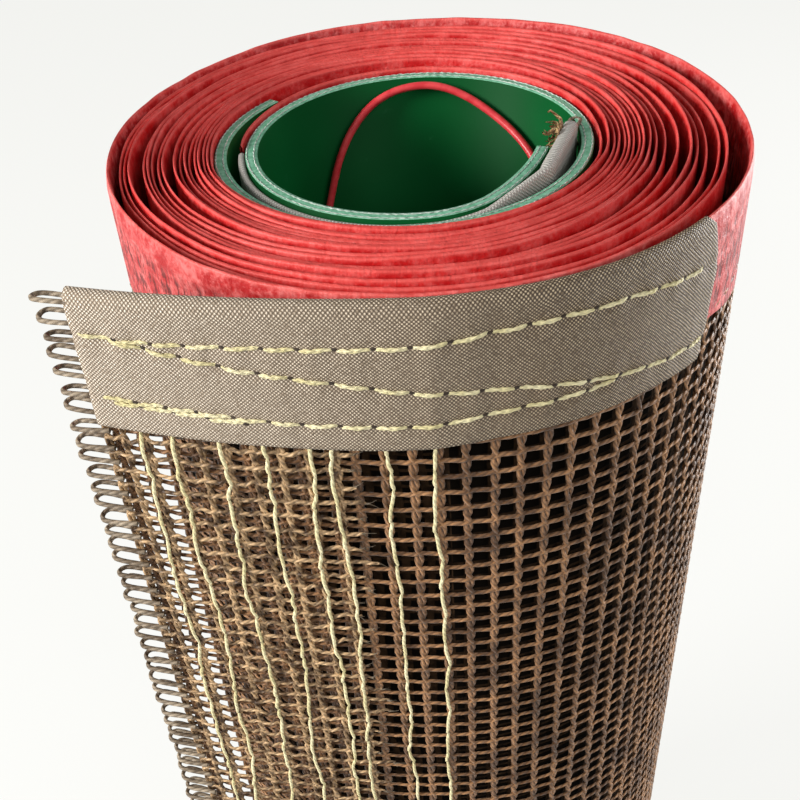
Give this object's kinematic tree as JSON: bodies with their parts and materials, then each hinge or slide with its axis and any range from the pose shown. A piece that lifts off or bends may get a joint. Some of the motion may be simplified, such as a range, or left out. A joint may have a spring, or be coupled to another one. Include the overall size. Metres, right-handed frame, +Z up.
{
  "type": "rolled open-mesh conveyor belt",
  "caption": "Open-mesh conveyor belt wound into an upright roll on a core sleeve, with taped edges, sewn end patches, a looped loose end and its hinge pin stored in the bore.",
  "frame": {"origin": "on the roll's axis, in the plane that the roll stands on", "axes": "+Z up along the roll's axis and the belt's width; +X to the right of a viewer who faces the belt's loose end; +Y away from that viewer"},
  "size_m": [0.1447, 0.1413, 0.4],
  "materials": {
    "mesh": "coated open weave, satin",
    "edge_tape": "coated tape, satin",
    "patch_fabric": "coated plain weave, satin",
    "sleeve": "smooth, semi-gloss",
    "pin": "smooth, semi-gloss"
  },
  "bodies": {
    "root": {"mesh_belt": "mesh", "edge_tapes": "edge_tape", "outer_patch_top": "patch_fabric", "outer_patch_bottom": "patch_fabric", "inner_patch_top": "patch_fabric", "inner_patch_bottom": "patch_fabric", "core_sleeve": "sleeve", "hinge_pin": "pin"}
  },
  "joints": []
}
